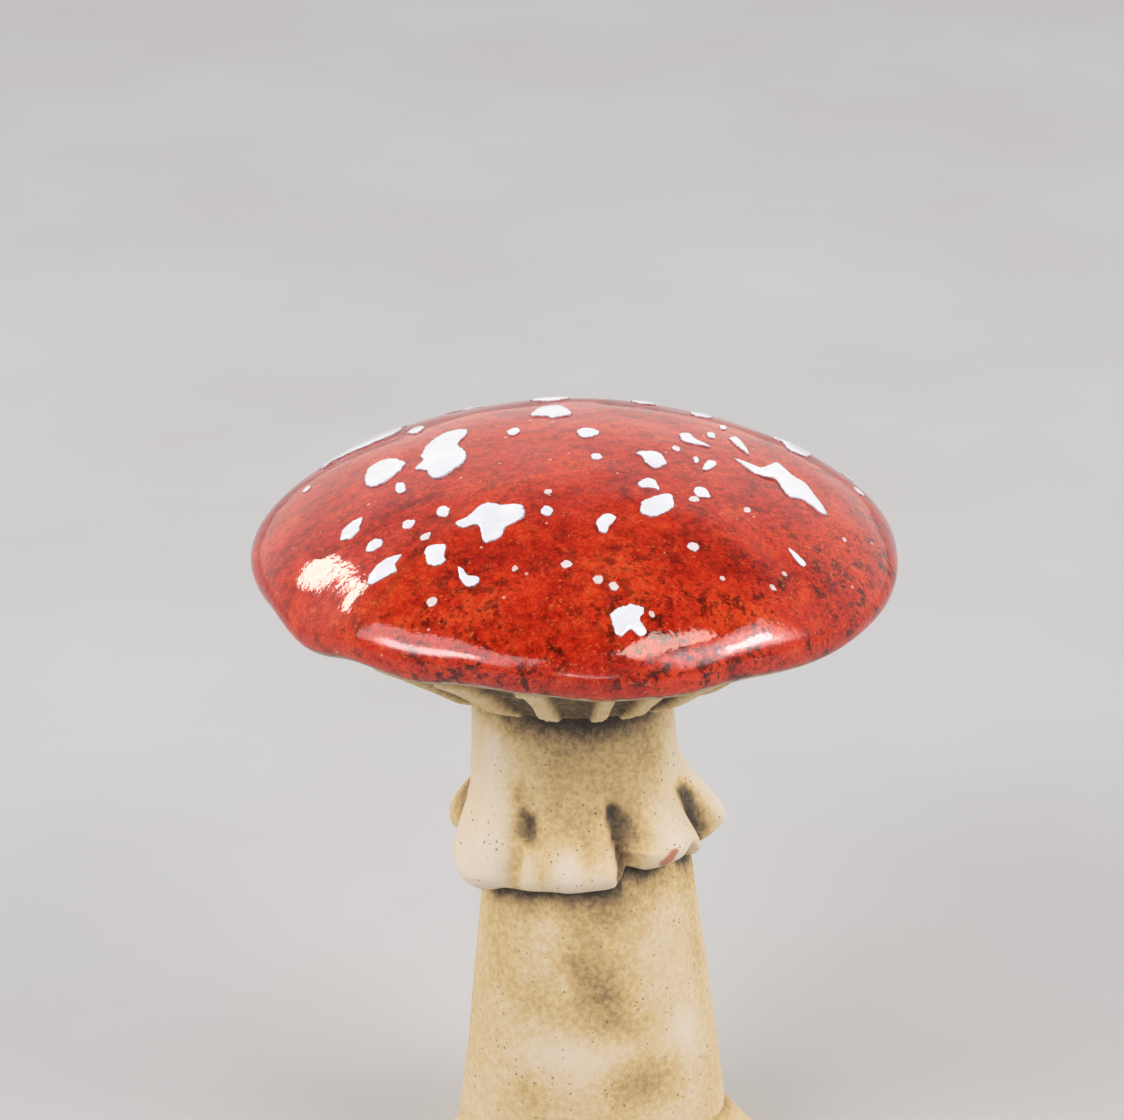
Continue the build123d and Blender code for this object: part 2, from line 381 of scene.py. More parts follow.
def stem_shape(angle, radius, height):
    outer = radius > stem_radius(height) - TOUCH and height < NECK_TOP - TOUCH
    if not outer:
        return radius, height, HOLLOW_STAIN
    return radius + stem_uneven(angle, radius, height), height, stem_wash_and_shade(angle, height)


CLAY = washed_and_shaded_clay()
stem = turned("hollow_stem", stem_outline(), STEM_STEPS)
press(stem, stem_shape, stem_centre)
stem.data.materials.append(CLAY)
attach(stem, "root")
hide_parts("stem")


# Foot collar
# A coil of the same clay, pressed round the bottom of the stem and drawn out into a wavy foot.
# Its top is thumbed smooth into the stem, and only on the right a dark crease shows where it starts.
FOOT_HEIGHT = 17.0
FOOT_TILT = 14.0  # the coil's top lies higher on the right
FOOT_LOBES = 7
FOOT_LOBE_SWING = 1.0
FOOT_ROWS = 60
FOOT_INNER_SKIP = 4
FOOT_STEPS = 240
FOOT_SINK = 0.9  # how far the smoothed-in top is pressed into the stem
FOOT_BACK = 1.0  # how much deeper in the stem its hidden back lies
FOOT_BLEND = 2.5  # height over which its top sinks in
FOOT_DENT = 0.35
FOOT_DENT_START = 4  # height over which the dents start below the flare
# How far the foot spreads past the stem at the table: angle and distance
FOOT_REACH = (
    (-142, 7.0), (-118, 2.6), (-92, 4.6), (-62, 7.6), (0, 8.0), (85, 8.0), (120, 6.5), (150, 8.0),
    (180, 8.0),
)
# How late the foot spreads on its way down: angle and power, where 1 is a straight flare
FOOT_SPREAD = ((-90, 1.1), (0, 1.6), (60, 1.4), (86, 0.9), (120, 1.1), (180, 1.6))
# Where the foot comes out of the stem: angle and height
FLARE = (
    (-142, 10.0), (-118, 4.6), (-92, 7.6), (-50, 13.0), (0, 15.5), (60, 14.0), (85, 13.0), (104, 10.6),
    (122, 8.4), (150, 13.0), (180, 15.5),
)
CREASE_ANGLE = 85
CREASE_WIDTH = 20
CREASE_TALL = 1.6
CREASE_DARK = 0.34
TABLE_DARK = 0.25  # darker where the foot meets the table
TABLE_DARK_TALL = 1.8
FOOT_CLOUD = 0.10  # unevenness of the foot's wash
HIDDEN_STAIN = 0.6  # wash on faces that nobody sees


def foot_outline():
    heights = [FOOT_HEIGHT * (1 - row / FOOT_ROWS) for row in range(FOOT_ROWS + 1)]
    outside = [(STEM_FOOT_RADIUS, height) for height in heights]
    inside = [(STEM_TOP_RADIUS, height) for height in reversed(heights[::FOOT_INNER_SKIP])]
    return outside + inside


def foot_shape(angle, radius, height):
    down = 1 - height / FOOT_HEIGHT
    to_right = stem_radius(height) * sin(radians(angle))
    raised = height + to_right * tan(radians(FOOT_TILT * (1 - down)))
    wall = stem_radius(raised)
    if radius < (STEM_TOP_RADIUS + STEM_FOOT_RADIUS) / 2:
        return wall - FOOT_SINK - FOOT_BACK, raised, HIDDEN_STAIN
    flare = around(FLARE, angle)
    above = raised - flare
    if above > 0:
        reach = -FOOT_SINK * smooth_step(above / FOOT_BLEND)
    else:
        reach = around(FOOT_REACH, angle) * (-above / flare) ** around(FOOT_SPREAD, angle)
    reach += FOOT_LOBE_SWING * down**2 * cos(radians(FOOT_LOBES * angle))
    dents = FOOT_DENT * ring_lump(angle, radius=30, height=raised, size=8)
    reach += dents * smooth_step(-above / FOOT_DENT_START)
    crease = fade(above, CREASE_TALL) * fade(turn_between(angle, CREASE_ANGLE), CREASE_WIDTH)
    brown = stem_wash_and_shade(angle, raised) + CREASE_DARK * crease
    brown += TABLE_DARK * fade(height, TABLE_DARK_TALL)
    brown += FOOT_CLOUD * ring_lump(angle, radius=20, height=raised, size=7)
    return wall + stem_uneven(angle, wall, raised) + reach, raised, brown


foot = turned("foot_coil", foot_outline(), FOOT_STEPS)
press(foot, foot_shape, stem_centre)
foot.data.materials.append(CLAY)
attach(foot, "root")
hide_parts("foot_collar")


# Skirt
# A thin slab of the clay wrapped round the stem under the cap and pinched into puffed folds.
# Thumb pits between the folds and the drawn-in hem hold the darkest wash. Shade under the gills and between
# two folds on the left is painted in.
SKIRT_LENGTH = 28.0
SKIRT_THICKNESS = 1.4
THINNEST_CLAY = 0.3
NECK_LEAN = 1.0  # how much thicker the neck's clay is on the left, and thinner on the right
NECK_LEAN_END = 0.5  # share of the way down where that starts to even out
NECK_LEAN_FADE = 0.4
SKIRT_ROWS = 120
SKIRT_UNDER_ROWS = 12
SKIRT_INNER_SKIP = 8
SKIRT_STEPS = 420
SKIRT_INNER = 14.0  # plain radii of the sleeve before it is pinched
SKIRT_OUTER = 20.0
SKIRT_SINK = 0.2
SKIRT_RING = 20  # radius at which the unevenness is read
SKIRT_LUMP = 0.22
SKIRT_DENT = 0.10
SKIRT_EVEN_TOP = 0.2  # share of the way down over which the lumps start
NECK_HEIGHT = NECK_TOP - 0.7  # where the gills' underside meets the neck
HEM_ROUND = 2.4
HEM_START = 0.87  # share of the way down where the hem starts to round in
HEM_LIFT = 1.6  # how far the hem's underside rises on its way in to the stem
# How far each fold stands out: angle and distance
FOLDS = (
    (-116, 7.0), (-97, 3.0), (-62, 4.7), (-37, 2.3), (-10, 3.6), (12, 3.4), (30, 3.2), (45, 3.9), (56, 3.7),
    (73, 2.6), (93, 5.2), (114, 3.0), (134, 4.8), (153, 2.6), (174, 4.8), (196, 2.8), (216, 4.8),
    (230, 2.8),
)
# Share of the way down where the folds start to swell
SWELL_START = ((-90, 0.50), (-10, 0.44), (42, 0.44), (58, 0.60), (78, 0.46), (140, 0.40), (200, 0.42))
SWELL_PEAK = 0.80
SWELL_TUCK = 0.35
SWELL_SLOW = 1.15  # above 1, the swell starts more slowly
# Thumb pits: angle at the top, degrees to the right for each mm down, sharp left and soft right width
# in degrees, top and bottom heights, and depth from 0 to 1
PITS = (
    (-30.6, -0.5, 6.5, 9.5, 72.8, 63.8, 0.78),
    (-34.0, -0.45, 5.0, 6.0, 68.0, 50.0, 0.44),
    (13.6, 0.18, 2.0, 13.0, 74.6, 64.0, 0.80),
    (14.6, 0.20, 1.8, 11.0, 69.0, 50.0, 0.78),
    (71.5, 0.35, 8.5, 11.0, 73.2, 48.0, 1.0),
    (-98.0, -0.1, 8.0, 8.0, 71.0, 46.0, 1.0),
    (113.0, 0.1, 7.0, 8.0, 74.0, 50.0, 0.90),
    (153.0, 0.0, 7.0, 8.0, 73.0, 54.0, 0.85),
    (196.0, -0.1, 8.0, 9.0, 74.0, 50.0, 0.90),
    (230.0, 0.0, 8.0, 8.0, 72.0, 50.0, 0.90),
)
PIT_CLAY = 0.6  # clay left over the stem at the bottom of a pit
PIT_EDGE = 3.2
PIT_NARROW = 0.45  # share of its soft width that a pit has at its top
PIT_OPENING = 6  # height over which it widens
PIT_WANDER_ANGLE = 1.7  # how far the pits' edges wander
PIT_WANDER_HEIGHT = 0.7
FOLD_STAIN = 0.10  # wash on the folds
UNDER_GILLS = ((0.62, 3.6), (0.16, 8))  # wash collected under the gills, deepened as painted shade: strength and reach down
PIT_DARK = 0.50  # wash in the bottom of a pit, and the depth where it starts
PIT_DARK_START = 0.20
PIT_SHADE = 0.18  # wash on a pit's sides, and the depth where it is full
PIT_SHADE_FULL = 0.5
HEM_EDGE_DARK = 0.30  # wash on the hem's edge, and where it starts
HEM_EDGE = 0.975
UNDER_STAIN = 0.8
# Rust-red flecks: angle, height, width in degrees, height of the fleck, strength
FLECKS = ((36.8, 62.9, 2.6, 0.9, 1.0), (39.2, 63.8, 3.0, 1.0, 1.0), (42.0, 64.8, 2.4, 0.8, 0.7))
# Sponged places, one of them a painted shadow, and smooth pale ones, in the same order
SPONGED_WASH_AND_SHADOW = (
    (2, 79, 36, 9.0, 0.31), (-8, 70, 22, 5.0, 0.16), (25, 72, 10, 4.0, 0.12), (-35, 74.0, 5, 2.8, 0.22),
    (-19, 62, 4, 4.0, 0.14), (1, 66, 3, 3.0, 0.12), (140, 78, 40, 8.0, 0.26), (215, 77, 40, 8.0, 0.28),
    # the dab at -109 degrees is painted shadow where the small left fold meets the main one
    (-109, 64.5, 5, 6.0, 0.44), (80, 64.5, 5, 5.0, 0.20), (28, 68, 9, 4.0, 0.10), (-27, 68.6, 4, 2.6, 0.22),
    (46, 78, 13, 6.0, 0.20),
)
SMOOTH_PALE = (
    (-58, 61, 20, 6.0, 0.10), (-7, 64.4, 7, 3.4, 0.16), (45, 66, 12, 6.0, 0.10), (97, 66, 12, 8.0, 0.14),
    (-54, 77, 8, 9.0, 0.10),
)
# Share of the dark wash and painted shade that stays under the gills, by angle
GILL_SHADE = ((-90, 0.45), (-40, 0.9), (0, 1.0), (45, 1.0), (90, 0.6), (180, 0.8))


def pit_share(angle, height):
    """1 at the bottom of a thumb pit, 0 on the folds."""
    deepest = 0.0
    for place, wander, sharp, soft, top, bottom, depth in PITS:
        away = turn_between(angle, place + wander * (top - height))
        opened = PIT_NARROW + (1 - PIT_NARROW) * smooth_step((top - height) / PIT_OPENING)
        width = sharp if away < 0 else soft * opened
        upper = smooth_step((top - height) / PIT_EDGE)
        lower = smooth_step((height - bottom) / PIT_EDGE)
        deepest = max(deepest, depth * fade(away, width) * upper * lower)
    return deepest


def puff(share):
    """How far a fold has swollen: it swells slowly on its way down and tucks in at the hem."""
    if share < SWELL_PEAK:
        return smooth_step(share / SWELL_PEAK) ** SWELL_SLOW
    return 1 - SWELL_TUCK * ((share - SWELL_PEAK) / (1 - SWELL_PEAK)) ** 2


def skirt_outline():
    heights = [NECK_TOP - SKIRT_LENGTH * row / SKIRT_ROWS for row in range(SKIRT_ROWS + 1)]
    outside = [(SKIRT_OUTER, height) for height in heights]
    width = SKIRT_OUTER - SKIRT_INNER
    rows = range(1, SKIRT_UNDER_ROWS)
    under = [(SKIRT_OUTER - width * row / SKIRT_UNDER_ROWS, heights[-1]) for row in rows]
    inside = [(SKIRT_INNER, height) for height in reversed(heights[::SKIRT_INNER_SKIP])]
    return outside + under + inside


def skirt_wall(angle, share):
    """The outer face's radius and height, and how deep in a pit it lies, at a share of the way from
    the gills to the hem."""
    height = NECK_TOP - share * (NECK_TOP - around(HEM, angle))
    start = around(SWELL_START, angle)
    swell = puff(max((share - start) / (1 - start), 0.0))
    wander = ring_lump(angle, SKIRT_RING, height, size=2.4)
    pit = pit_share(angle + PIT_WANDER_ANGLE * wander, height + PIT_WANDER_HEIGHT * wander)
    to_right = NECK_LEAN * sin(radians(angle))
    body = SKIRT_THICKNESS - to_right * (1 - smooth_step((share - NECK_LEAN_END) / NECK_LEAN_FADE))
    body += around(FOLDS, angle) * swell
    lumps = SKIRT_LUMP * ring_lump(angle, SKIRT_RING, height, size=6)
    lumps += SKIRT_DENT * ring_lump(angle, SKIRT_RING, height, size=2.5)
    body += lumps * smooth_step(share / SKIRT_EVEN_TOP)
    past = max((share - HEM_START) / (1 - HEM_START), 0.0)
    body -= HEM_ROUND * (1 - sqrt(max(1 - past * past, 0.0)))
    clay = body + (min(PIT_CLAY, body) - body) * pit
    return stem_radius(height) + max(clay, THINNEST_CLAY), height, pit


def skirt_shape(angle, radius, height):
    share = (NECK_TOP - height) / SKIRT_LENGTH
    inward = (SKIRT_OUTER - radius) / (SKIRT_OUTER - SKIRT_INNER)
    wall, level, pit = skirt_wall(angle, share)
    if inward > 0.01:
        seat = stem_radius(level) - SKIRT_SINK
        lifted = level + HEM_LIFT * smooth_step(inward) * (share > 0.99)
        return wall + (seat - wall) * inward, lifted, UNDER_STAIN
    under_gills = max(NECK_HEIGHT - level, 0.0)
    # wash and painted shade under the gills
    brown = FOLD_STAIN + layers(under_gills, UNDER_GILLS) * around(GILL_SHADE, angle)
    brown += dab(angle, level, SPONGED_WASH_AND_SHADOW) - dab(angle, level, SMOOTH_PALE)
    brown += PIT_DARK * smooth_step((pit - PIT_DARK_START) / (1 - PIT_DARK_START))
    brown += PIT_SHADE * smooth_step(pit / PIT_SHADE_FULL)
    brown += HEM_EDGE_DARK * smooth_step((share - HEM_EDGE) / (1 - HEM_EDGE))
    return wall, level, brown


skirt = turned("ruffled_skirt", skirt_outline(), SKIRT_STEPS)
press(skirt, skirt_shape, stem_centre)
rust = skirt.data.attributes.new("rust", "FLOAT", "POINT")
for point in skirt.data.vertices:
    x, y, z = point.co / MM
    angle = degrees(atan2(x - stem_centre(z), -y))
    rust.data[point.index].value = min(dab(angle, z, FLECKS), 1.0)
skirt.data.materials.append(CLAY)
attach(skirt, "root")
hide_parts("skirt")


# Gill plate
# The cone of clay under the cap, luted into the dome's mouth and over the stem's spigot.
# Flat-topped gills stand between carved grooves, which hold the brown wash.
GILL_RING_RADIUS = 20.5
PLATE_THICKNESS = 5.0
PLATE_LOW, PLATE_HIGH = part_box("gill_plate")
PLATE_RADIUS = (PLATE_HIGH.y - PLATE_LOW.y) / 2 / MM
LIP_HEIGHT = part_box("cap_dome")[0].z / MM
CAP_X = (PLATE_HIGH.x + PLATE_LOW.x) / 2 / MM
SLIP_GAP = 0.15  # room for the slip that lutes two pieces together
LEDGE_HEIGHT = LIP_HEIGHT + PLATE_THICKNESS
LEDGE_RADIUS = PLATE_RADIUS - 1.5
SOCKET_RADIUS = SPIGOT_RADIUS + SLIP_GAP
SOCKET_WALL = 4
SOCKET_TOP = NECK_TOP + 8.0
CARVED_EDGE = NECK_TOP + 1.3  # the carved edge above the neck
CARVED_RISE = LIP_HEIGHT - CARVED_EDGE
CARVED_RUN = PLATE_RADIUS - GILL_RING_RADIUS
NECK_GAP = 0.3
NECK_ROWS = 16
GILL_ROWS = 64
GILL_STEPS = 600
GILL_RISE = 1.9
GILL_NOSE = 0.75  # how far a gill's blunt end stands down over the neck
GILL_FLAT = 0.62  # share of a gill's half width that is flat on top
GILL_SIDE = 0.60  # width of its sloping side, in half widths
GROOVE_MIDDLE = 1.3  # the furthest off a gill, in half widths
GILL_STRAY = 2.0  # how far the gills stray by the rim, in three slow swings
GILL_END = 0.80  # share of the way out where the gills start to die away
GILL_END_FADE = 0.17
NOSE_RADIUS = 16.6  # start, rounding and length of a gill's blunt end
NOSE_ROUND = 2.2
NOSE_LENGTH = 2.8
CONE_LUMP = 0.18
GROOVE_STAIN = 0.86
GILL_WIPED = 0.58  # wash wiped off the top of a gill
RIM_WIPED = 0.35  # wash wiped off near the rim, and where that starts
RIM_WIPED_START = 0.86
RIM_WIPED_SPAN = 0.12
# Gills: angle and half width in degrees where they end above the neck
GILLS = (
    (-78, 4.5), (-63, 4.2), (-47, 4.0), (-29, 5.8), (-10.4, 4.2), (8.9, 3.4), (22.2, 3.5), (38, 4.4),
    (57, 4.5), (76, 4.5), (95, 4.5), (114, 5), (133, 4.5), (152, 5), (171, 4.5), (190, 4.5), (209, 5),
    (228, 4.5), (246, 4.2), (264, 4.5),
)
# How much steeper the cone is near the neck than an even one, by angle
CONE_BOW = ((-90, 1.0), (-45, 1.2), (0, 1.65), (45, 1.45), (90, 1.1), (180, 1.2))


def gill_share(angle, radius):
    """1 on top of a gill and 0 in a groove, then the distance off the nearest gill's middle, where its
    edge is at 1. A gill widens less than the cone does."""
    narrowing = sqrt(GILL_RING_RADIUS / max(radius, GILL_RING_RADIUS))
    off = min(abs(turn_between(angle, place)) / (half * narrowing) for place, half in GILLS)
    return 1 - smooth_step((off - GILL_FLAT) / GILL_SIDE), min(off, GROOVE_MIDDLE)


def plate_outline():
    back_height = NECK_TOP + PLATE_THICKNESS
    neck = [(SOCKET_RADIUS, NECK_TOP), (STEM_TOP_RADIUS, NECK_TOP)]
    neck_start = STEM_TOP_RADIUS + NECK_GAP
    for row in range(NECK_ROWS):
        share = row / NECK_ROWS
        radius = neck_start + (GILL_RING_RADIUS - neck_start) * share
        neck.append((radius, NECK_HEIGHT + (CARVED_EDGE - NECK_HEIGHT) * share))
    cone = []
    for row in range(GILL_ROWS + 1):
        share = row / GILL_ROWS
        cone.append((GILL_RING_RADIUS + CARVED_RUN * share, CARVED_EDGE + CARVED_RISE * share))
    back = [
        (PLATE_RADIUS, LEDGE_HEIGHT),
        (LEDGE_RADIUS, LEDGE_HEIGHT),
        (GILL_RING_RADIUS, back_height),
        (SOCKET_RADIUS + SOCKET_WALL, back_height),
        (SOCKET_RADIUS + SOCKET_WALL, SOCKET_TOP),
        (SOCKET_RADIUS, SOCKET_TOP),
    ]
    return neck + cone + back


def plate_shape(angle, radius, height):
    share = (radius - GILL_RING_RADIUS) / CARVED_RUN
    away = max(share, 0.0)
    under = height < CARVED_EDGE + away * CARVED_RISE + TOUCH
    if not under or radius < STEM_TOP_RADIUS + TOUCH:
        return radius, height, HIDDEN_STAIN
    if share > 0:
        bow = around(CONE_BOW, angle)
        height = CARVED_EDGE + CARVED_RISE * (1 - max(1 - share, 0.0) ** bow)
        slant = atan2(CARVED_RISE * bow * max(1 - share, 0.05) ** (bow - 1), CARVED_RUN)
    else:
        slant = atan2(CARVED_RISE, CARVED_RUN)
    swing = sin(radians(3 * angle + 40))
    gill, off = gill_share(angle + GILL_STRAY * swing * away, radius)
    nose = smooth_step((radius - NOSE_RADIUS - NOSE_ROUND * off * off) / NOSE_LENGTH)
    ending = 1 - smooth_step((share - GILL_END) / GILL_END_FADE)
    lift = GILL_RISE * gill * ending * nose
    lift += CONE_LUMP * ring_lump(angle, radius, height, size=7) * nose
    outward = smooth_step(share * 6 + 0.3)
    blunt = GILL_NOSE / GILL_RISE
    downward = blunt + (1 - blunt) * smooth_step(share * 5)
    brown = GROOVE_STAIN - GILL_WIPED * smooth_step(gill * ending * nose)
    brown -= RIM_WIPED * smooth_step((share - RIM_WIPED_START) / RIM_WIPED_SPAN)
    return radius + lift * sin(slant) * outward, height - lift * cos(slant) * downward, brown


plate = turned("carved_gills", plate_outline(), GILL_STEPS)
press(plate, plate_shape, lambda height: CAP_X)
plate.data.materials.append(CLAY)
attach(plate, "root")
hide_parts("gill_plate")


# Cap dome
# The hollow dome of clay with its rolled rim, pressed wavy by the hands that turned it over.
# It is brushed with a thick red glaze that runs glossy, breaks dark in specks and stops under the lip.
CAP_RADIUS = 50.0
DOME_CROWN = 1.25
DOME_HEIGHT = 19.6
LIP_DROP = 3.8
LIP_ROLL = 3.4
RIM_HEIGHT = LIP_HEIGHT + LIP_DROP
DOME_WALL = 5.0
MOUTH_RADIUS = PLATE_RADIUS + SLIP_GAP
LIP_FLAT = 1.0  # flat ring between the mouth and the rolled lip
DOME_ROWS = 110
LIP_ROWS = 26
ARCH_ROWS = 12
DOME_STEPS = 360
GLAZE_END = 105.5  # height on the lip where the red stops
GLAZE_END_SOFT = 0.5
EDGE_POWER = 9  # how close to the edge the rim's wave stays
# How far the hand-pressed rim stands above its even height, by angle
RIM_WAVE = (
    (-155, 0.5), (-125, -0.4), (-92, 0.5), (-68, 1.2), (-54, -0.3), (-42, 0.9), (-30, 0.4), (-18, 1.5),
    (-6, 0.8), (6, -0.1), (18, -0.3), (27, 0.4), (46, -0.2), (62, 0.4), (78, 0.5), (100, 0.3),
    (130, -0.6), (165, 0.7),
)
# How far it stands out past its even radius, by angle
RIM_SWING = (
    (-150, 0.3), (-100, 0.2), (-72, 0.0), (-52, 0.4), (-25, -0.2), (0, 0.4), (30, -0.3), (60, 0.3),
    (88, -0.5), (105, 0.3), (140, -0.2), (175, 0.2),
)
# Colours of the red glaze on a screen, from deep to thin
RED_COLOURS = (
    (0.36, (120, 18, 8)),
    (0.44, (182, 34, 14)),
    (0.51, (214, 54, 24)),
    (0.58, (227, 78, 36)),
    (0.66, (229, 112, 54)),
)
STREAK_BROWN = (112, 42, 24)
SCAB_BROWN = (64, 16, 8)
SPECK_BLACK = (42, 14, 8)
GOLD = (226, 120, 58)
PALE_FLECK = (236, 182, 158)
THIN_EDGE = (140, 58, 38)
BARE_LIP = (186, 160, 130)


def dome_height(x, y):
    """Height of the dome's skin over a point in plan, counted from the cap's axis."""
    radius = min(hypot(x, y), CAP_RADIUS)
    lean = asin(radius / CAP_RADIUS)
    angle = degrees(atan2(x, -y))
    edge = (radius / CAP_RADIUS) ** EDGE_POWER
    even = DOME_HEIGHT * cos(lean) ** DOME_CROWN
    uneven = 0.34 * lump(x, y, z=3, size=17) + 0.10 * lump(x, y, z=40, size=6)
    return RIM_HEIGHT + even + uneven + edge * around(RIM_WAVE, angle)


def dome_outline():
    outside = []
    for row in range(DOME_ROWS + 1):
        lean = pi / 2 * row / DOME_ROWS
        height = RIM_HEIGHT + DOME_HEIGHT * cos(lean) ** DOME_CROWN
        outside.append((CAP_RADIUS * sin(lean), height))
    for row in range(1, LIP_ROWS + 1):
        turn = pi / 2 * row / LIP_ROWS
        radius = CAP_RADIUS - LIP_ROLL * (1 - cos(turn))
        outside.append((radius, RIM_HEIGHT - LIP_DROP * sin(turn)))
    mouth = [
        (MOUTH_RADIUS + LIP_FLAT, LIP_HEIGHT),
        (MOUTH_RADIUS, LIP_HEIGHT),
        (MOUTH_RADIUS, LEDGE_HEIGHT),
        (LEDGE_RADIUS, LEDGE_HEIGHT),
    ]
    arch_top = RIM_HEIGHT + DOME_HEIGHT - DOME_WALL
    arch = []
    for row in range(1, ARCH_ROWS + 1):
        across = 1 - row / ARCH_ROWS
        arch.append((LEDGE_RADIUS * across, arch_top - (arch_top - LEDGE_HEIGHT) * across**2))
    return outside + mouth + arch


def dome_shape(angle, radius, height):
    lean = asin(min(radius / CAP_RADIUS, 1.0))
    skin = RIM_HEIGHT + DOME_HEIGHT * cos(lean) ** DOME_CROWN
    x, y = radius * sin(radians(angle)), -radius * cos(radians(angle))
    swing = around(RIM_SWING, angle)
    if height >= RIM_HEIGHT and abs(height - skin) < TOUCH:
        return radius + swing * (radius / CAP_RADIUS) ** EDGE_POWER, dome_height(x, y), 0.0
    if radius < MOUTH_RADIUS + LIP_FLAT / 2:
        return radius, height, 1.0
    ragged = 0.55 * lump(x, y, z=9, size=3) + 0.45 * lump(x, y, z=5, size=1.1)
    bare = smooth_step((GLAZE_END - height + ragged) / GLAZE_END_SOFT)
    rim = dome_height(x / radius * CAP_RADIUS, y / radius * CAP_RADIUS) - RIM_HEIGHT
    return radius + swing, height + rim, bare


def red_glaze():
    """Thick red glaze: deep red to orange, grainy, breaking dark in patches, with golden specks.
    It gives way to bare clay where the wash attribute, here the bareness, is 1."""
    material, tree, place, shader = new_material("red_glaze")
    middle = node(tree, "Mapping", {"Vector": place, "Location": (-CAP_X * MM, 0, 0)})
    place = middle.outputs["Vector"]
    parts = node(tree, "SeparateXYZ", {0: place})
    right = parts.outputs["X"]
    height = parts.outputs["Z"]
    bearing = sums(tree, "ARCTAN2", right, parts.outputs["Y"])
    reach = node(tree, "VectorMath", {0: place}, operation="LENGTH").outputs["Value"]
    brushed = node(tree, "CombineXYZ", {
        0: times(tree, bearing, 0.040), 1: times(tree, reach, 0.22),
    }).outputs[0]
    clouds = grain(tree, place, scale=85, detail=5.0, rough=0.6)
    mottle = grain(tree, place, scale=520, detail=7.0, rough=0.75)
    sand = grain(tree, place, scale=1900, detail=3.0, rough=0.7)
    depth = sums(tree, "ADD", times(tree, clouds, 0.35), times(tree, mottle, 0.45))
    depth = sums(tree, "ADD", depth, times(tree, sand, 0.20))
    colour = ramp(tree, depth, RED_COLOURS)
    streaks = between(tree, grain(tree, brushed, scale=260, detail=5.0, rough=0.6), 0.54, 0.72)
    colour = over(tree, streaks, colour, STREAK_BROWN, 0.40)
    low = between(tree, height, 0.126, 0.110, least=0.42, most=1.0)
    low = times(tree, low, between(tree, right, -0.044, -0.016, least=0.40, most=1.0))
    patches = between(tree, grain(tree, place, scale=110, detail=4.0), 0.34, 0.54)
    patches = times(tree, patches, low)
    scabs = between(tree, grain(tree, place, scale=460, detail=5.0, rough=0.72), 0.50, 0.60)
    scabs = times(tree, scabs, patches)
    colour = over(tree, scabs, colour, SCAB_BROWN, 0.92)
    specks = between(tree, grain(tree, place, scale=1300, detail=4.0, rough=0.7), 0.54, 0.63)
    specks = times(tree, specks, patches)
    colour = over(tree, specks, colour, SPECK_BLACK, 0.85)
    clusters = between(tree, grain(tree, place, scale=150, detail=3.0), 0.42, 0.60, least=0.25, most=1.0)
    gold = between(tree, grain(tree, place, scale=1500, detail=2.0), 0.60, 0.70)
    gold = times(tree, gold, clusters)
    colour = over(tree, gold, colour, GOLD, 0.62)
    flecks = dots(tree, place, scale=290, size=0.11)
    colour = over(tree, flecks, colour, PALE_FLECK, 0.8)
    bare = painted(tree, "wash")
    colour = over(tree, between(tree, bare, 0.02, 0.5), colour, THIN_EDGE)
    colour = over(tree, between(tree, bare, 0.45, 0.9), colour, BARE_LIP)
    gloss = between(tree, mottle, 0.3, 0.7, least=0.04, most=0.09)
    rolled = between(tree, height, 0.113, 0.109, least=0.0, most=0.10)
    dry = between(tree, bare, 0.4, 0.9, least=0.0, most=0.5)
    rough = sums(tree, "ADD", sums(tree, "ADD", gloss, rolled), dry)
    waves = grain(tree, place, scale=240, detail=3.0)
    ripple = bump(tree, waves, strength=0.20, depth=0.25)
    pimples = grain(tree, place, scale=800, detail=2.0)
    raised = between(tree, height, 0.109, 0.113, least=0.16, most=0.32)
    peel = bump(tree, pimples, strength=raised, depth=0.10, under=ripple)
    feed(tree, shader, colour, rough, peel, bend=1.5)
    return material


dome = turned("glazed_dome", dome_outline(), DOME_STEPS)
press(dome, dome_shape, lambda height: CAP_X)
dome.data.materials.append(red_glaze())
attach(dome, "root")
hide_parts("cap_dome")


# White spots
# Dabs of thick white glaze let fall on the red one: each is a low pad with a rounded edge.
# The two glazes run together in a thin mauve line round each dab, which also paints shade at its edge.
SPOT_THICKNESS = 0.38
SPOT_SINK = 0.22
SPOT_RAGGED = 0.20  # how far a dab's edge strays
DAB_CORNERS = 10
DAB_BUMP = 0.20  # how far a small dab's outline strays from an oval
DAB_THINNEST = 0.55  # thickness of small and large dabs, as shares of the usual one
DAB_THICKEST = 1.15
DAB_GROWTH = 6  # size over which a dab gains one share
DAB_SPREAD = 0.8  # power that packs the points towards the edge
DAB_ROUND = 0.55  # power that rounds the edge over
DAB_UNDER = 0.3
SHEER_MOST = 0.62  # how much red shows through the smallest dabs
SHEER_SIZE = 0.5
SHEER_SPAN = 0.8
SLOPE_STEP = 0.2
GLAZE_WHITE = ((0.3, (238, 241, 247)), (0.7, (250, 252, 255)))
SHEER_PINK = (236, 186, 166)
# mauve where the glazes run together, also painted shade at a dab's edge
EDGE_MAUVE = (146, 88, 102)
